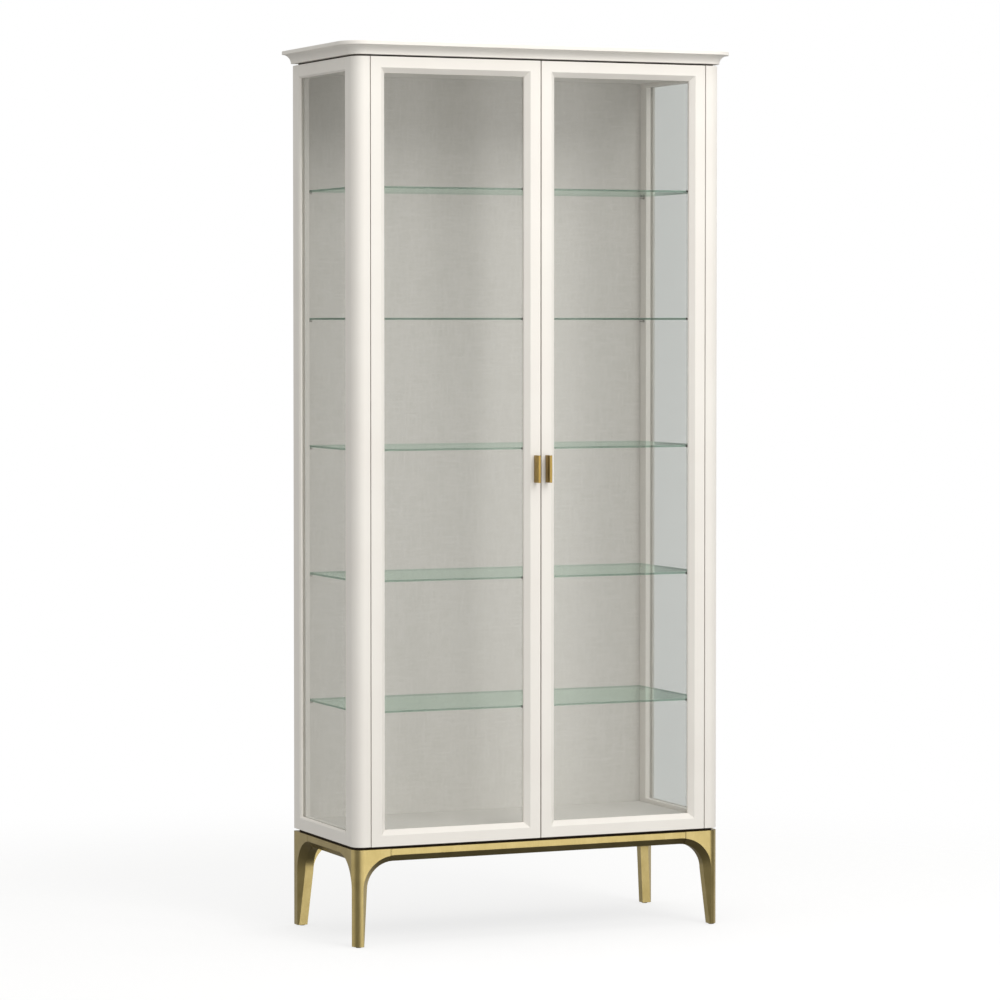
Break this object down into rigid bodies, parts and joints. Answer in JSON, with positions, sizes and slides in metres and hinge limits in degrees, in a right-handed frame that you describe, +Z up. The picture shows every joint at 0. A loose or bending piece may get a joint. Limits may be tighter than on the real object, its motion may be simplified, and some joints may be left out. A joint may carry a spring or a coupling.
{
  "type": "curio cabinet",
  "caption": "Tall glazed display cabinet with hinged framed doors, glass sides and shelves, moulded cornice and a curved-bracket brass base.",
  "frame": {"origin": "on the floor under the middle of the overall width and depth", "axes": "+Z up, the doors face -Y, +X to the right as seen from the front"},
  "size_m": [1, 0.43, 2.1],
  "materials": {
    "paint": "satin off-white lacquer on timber",
    "linen_board": "matte, linen-textured board",
    "shadow_strip": "matte dark-stained timber",
    "brass": "satin brushed",
    "aged_brass": "satin aged",
    "steel": "nickel-plated pressed steel",
    "nylon": "moulded, matte",
    "glass": "clear polished, greenish edges"
  },
  "bodies": {
    "root": {"cornice_top": "paint", "top_spacer": "shadow_strip", "carcass_top": "paint", "carcass_bottom": "linen_board", "bottom_spacer": "shadow_strip", "back_panel": "linen_board", "shelf_1": "glass", "shelf_2": "glass", "shelf_3": "glass", "shelf_4": "glass", "shelf_5": "glass", "front_base_rail": "brass", "rear_base_rail": "brass", "left_front_post": "paint", "left_rear_stile": "paint", "left_side_top_rail": "paint", "left_side_bottom_rail": "paint", "left_side_glass": "glass", "left_side_bead": "paint", "left_base_rail": "brass", "left_catch_magnet": "nylon", "front_left_leg": "brass", "front_left_glide": "nylon", "rear_left_leg": "brass", "rear_left_glide": "nylon", "left_lower_hinge_arm": "steel", "left_middle_hinge_arm": "steel", "left_upper_hinge_arm": "steel", "right_front_post": "paint", "right_rear_stile": "paint", "right_side_top_rail": "paint", "right_side_bottom_rail": "paint", "right_side_glass": "glass", "right_side_bead": "paint", "right_base_rail": "brass", "right_catch_magnet": "nylon", "front_right_leg": "brass", "front_right_glide": "nylon", "rear_right_leg": "brass", "rear_right_glide": "nylon", "right_lower_hinge_arm": "steel", "right_middle_hinge_arm": "steel", "right_upper_hinge_arm": "steel"},
    "left_door": {"left_door_frame": "paint", "left_door_glass": "glass", "left_handle": "aged_brass", "left_strike_disc": "steel", "left_lower_hinge_cup": "steel", "left_middle_hinge_cup": "steel", "left_upper_hinge_cup": "steel"},
    "right_door": {"right_door_frame": "paint", "right_door_glass": "glass", "right_handle": "aged_brass", "right_strike_disc": "steel", "right_lower_hinge_cup": "steel", "right_middle_hinge_cup": "steel", "right_upper_hinge_cup": "steel"}
  },
  "joints": [
    {"name": "left_door_hinge", "type": "hinge", "parent": "root", "child": "left_door", "pos_m": [-0.431, -0.187, 0.234], "axis": [0, 0, -1], "range_deg": [0, 105]},
    {"name": "right_door_hinge", "type": "hinge", "parent": "root", "child": "right_door", "pos_m": [0.431, -0.187, 0.234], "axis": [0, 0, 1], "range_deg": [0, 105]}
  ]
}
